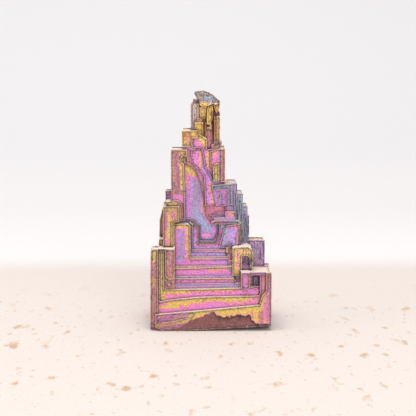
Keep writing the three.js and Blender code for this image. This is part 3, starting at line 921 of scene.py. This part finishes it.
print("foot line:", len(FOOT_LINE), "places")

# %% Dull oxide and the foot's colour
TIP_START = (38 * MM, 40 * MM)
DULL_BROWN = colour("#98736c")
TIP_RED_BROWN_AND_SHADE = colour("#642a20")
CHIP_DEPTH = 0.28
near_tip = up.ramp_between(*TIP_START)
film_colour = bismuth.node("ShaderNodeValToRGB", {"stops": FILM_COLOURS}, {0: thickness})
worn = dullness.clamp() * (1 - (1 - inwards) * 0.5 * (1 - near_tip))
matt = (worn * (1 + clouds * 3.0 + flecks * 2.5)).clamp()
# Near the tip the matt colour is red-brown: partly dull oxide, partly painted shade in the tip's hollows.
matt_and_tip_shade_colour = bismuth.blend(near_tip, DULL_BROWN, TIP_RED_BROWN_AND_SHADE)
film_colour = bismuth.blend(matt * 0.88, film_colour, matt_and_tip_shade_colour)
chipped = (above_foot + CHIP_DEPTH).absolute().fade(2.5) * across.ramp_between(-1 * MM, 2 * MM)
chipped = chipped * (0.85 + lying * 3.0).clamp()
foot_colour = bismuth.blend(flecks + 0.5, colour("#7a4a48"), colour("#9c6663"))
foot_colour = bismuth.blend(chipped, foot_colour, colour("#2e181a"))
film_colour = bismuth.blend(bare, film_colour, foot_colour)
print("nodes:", len(bismuth.tree.nodes))

# %% [markdown]
# ## Steps, gaps and painted shade lines
# Each step reads as a pale rim, partly the thin film's grey and partly a painted highlight, with a painted
# shade line just inside it, at the foot of the rim's wall, and another along its foot. The distances
# measured earlier give both lines. The tops of the steps, found by their normal, are painted cream as light
# from above: they have no rim line, and only a faint painted shade where the next step stands on them.

# %% Narrow slots, gaps and grooves
LEDGE_TILT = (0.6, 0.8)
NARROW = (0.25, 0.6)
COLUMNS_LEFT = (-2.6 * MM, -2.3 * MM)
GAP_FRONT = (-2.3 * MM, -1.8 * MM)
GAP_BACK = (-1.4 * MM, -1.0 * MM)
# The red-brown of the painted shade between the tip's columns and along its feet.
GAP_SHADE_BROWN = colour("#5a2018")
facing = bismuth.node("ShaderNodeNewGeometry", {}, {}, "Normal")
ledge = bismuth.node("ShaderNodeSeparateXYZ", {}, {0: facing}, 2).ramp_between(*LEDGE_TILT)
riser = 1 - ledge
narrow = 1 - field_width.ramp_between(*NARROW)
# Narrow upright faces are greyed: painted shade in the slots between steps.
film_colour = bismuth.blend(narrow * 0.3 * (1 - near_tip) * riser, film_colour, colour("#a8949e"))
# A pale tan band along the bottom of the upright faces is a painted highlight.
painted_bottom_highlight = (up / MM).fade(4.0) * riser
film_colour = bismuth.blend(painted_bottom_highlight * 0.6, film_colour, colour("#d0a88a"))
# Between the columns near the tip a band of depth is painted red-brown: painted shade in the gaps.
among_columns = near_tip * across.ramp_between(*COLUMNS_LEFT)
gap_shade = back.ramp_between(*GAP_FRONT) * (1 - back.ramp_between(*GAP_BACK)) * among_columns
film_colour = bismuth.blend(gap_shade * 0.85, film_colour, GAP_SHADE_BROWN)
dark_grooves = grooves.ramp_between(0.02, 0.12) * grooved * riser
film_colour = bismuth.blend(dark_grooves * 0.75, film_colour, colour("#4a4252"))
print("nodes:", len(bismuth.tree.nodes))

# %% Pale rims with painted highlights, and painted shade lines
# Rims under gold film stay mostly gold. Near the tip the rim's painted shade line is fainter and the painted
# shade along a foot is wider. Both are fainter on narrow slots and nearly vanish on shallow terraces.
on_rim = 1 - inside_rim.ramp_between(-0.06, 0.02)
not_gold = rim_film.ramp_between(0.26, 0.36)
# The pale rim colour is partly the thin film's own grey and partly a painted highlight on the raised edge.
# Near the tip it is cream-gold.
rim_grey_and_highlight = bismuth.blend(near_tip, colour("#bba8ac"), colour("#ecc47e"))
rim_grey_and_highlight_mix = (on_rim * (0.25 + not_gold * 0.3 + flecks)).clamp() * riser * (1 - near_tip * 0.4)
film_colour = bismuth.blend(rim_grey_and_highlight_mix, film_colour, rim_grey_and_highlight)
# The line inside each rim and the shade along each foot are painted shade: dark purple-brown, red-brown near
# the tip.
rim_shade_line = inside_rim.absolute().fade(10.0) * 0.9 * (1 - near_tip * 0.45) * riser
foot_shade = (from_foot * (near_tip * 3.2 - 5.5)).math("EXPONENT") * 0.95 * (1 - ledge * 0.6)
painted_crease_shade = (rim_shade_line + foot_shade).clamp() * (1 - narrow * 0.72)
painted_crease_shade = painted_crease_shade * (1 + dullness.math("MINIMUM", 0.0) * 1.4)
film_colour = bismuth.blend(painted_crease_shade, film_colour, bismuth.blend(near_tip, colour("#3c2838"), GAP_SHADE_BROWN))
print("nodes:", len(bismuth.tree.nodes))

# %% [markdown]
# ## The cap's colour and the finished surface
# The cap is rough grey metal with two blue spots. Then the whole surface gets its fine grain, which is
# lighter on the tops of the steps as painted light from above. It also gets dark grit, bright painted glints
# near the edges and pale specks on the right flank, and growth lines that run round each field, parallel to
# its rims. The metal is kept half dull, because a full mirror would show only the room and hide the film.

# %% The broken cap
rough_grey = bismuth.blend(bismuth.noise(0.35 * MM, 3.0), colour("#7d706c"), colour("#c9beb6"))
rough_grey = bismuth.blend(rim_film.clamp() * 0.9, rough_grey, colour("#8fbfdc"))
broken = (dullness - 1.0).clamp()
film_colour = bismuth.blend(broken, film_colour, rough_grey)
print("nodes:", len(bismuth.tree.nodes))

# %% Growth lines and the finished surface
FINE_SIZE = 0.22 * MM
GRIT_SIZE = 0.42 * MM
LINE_SPACING = 0.24
BUMP_DEPTH = 0.05 * MM
fine = bismuth.noise(FINE_SIZE, 3.0)
near_edge = inside_rim.absolute().fade(2.0)
# The grit is real dirt, but it is thinner on the tops of the steps as part of their painted light.
grit = bismuth.noise(GRIT_SIZE, 2.0).ramp_between(0.56, 0.66) * (near_edge * 0.6 + 0.25) * (1 - ledge * 0.6)
film_colour = bismuth.blend(grit, film_colour, colour("#5c4650"))
# Bright specks: near the rims they are painted glints, and on the right flank they are its pale speckles.
glints_and_specks = flecks.ramp_between(0.08, 0.18) * (near_edge * 0.35 + grooved * 0.55).clamp() * (1 - near_tip)
glint_and_speck_colour = bismuth.blend(grooved, colour("#dcc8c4"), colour("#bcd2d6"))
film_colour = bismuth.blend(glints_and_specks, film_colour, glint_and_speck_colour)
# The fine grain darkens the tops of the steps less: painted light from above over the real grain.
grain_and_top_light = bismuth.blend(ledge, colour("#bfb6ba"), colour("#eeeae6"))
grain_and_top_light = bismuth.blend(fine.ramp_between(0.3, 0.7), grain_and_top_light, colour("#ffffff"))
growth_lines = (inside_rim * (2 * math.pi / LINE_SPACING)).math("SINE")
relief = fine * 0.6 + growth_lines * 0.15 + clouds * 0.5
bismuth.surface(
    Base_Color=bismuth.blend(1.0, film_colour, grain_and_top_light, "MULTIPLY"),
    Metallic=0.35 * (1 - ledge * 0.8),
    Roughness=0.34 + fine * 0.2 + ledge * 0.3,
    Normal=bismuth.node("ShaderNodeBump", {}, {"Strength": 0.5, "Distance": BUMP_DEPTH, "Height": relief}),
)
crystal.data.materials.clear()
crystal.data.materials.append(bismuth.material)
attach(crystal, "root")
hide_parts(CRYSTAL_NODE)
print("nodes:", len(bismuth.tree.nodes))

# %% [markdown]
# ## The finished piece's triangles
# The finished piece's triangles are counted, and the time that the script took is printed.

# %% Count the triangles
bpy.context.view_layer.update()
print("triangles:", sum(len(face.vertices) - 2 for face in crystal.data.polygons))
print("made in", round(time.time() - started, 1), "s")
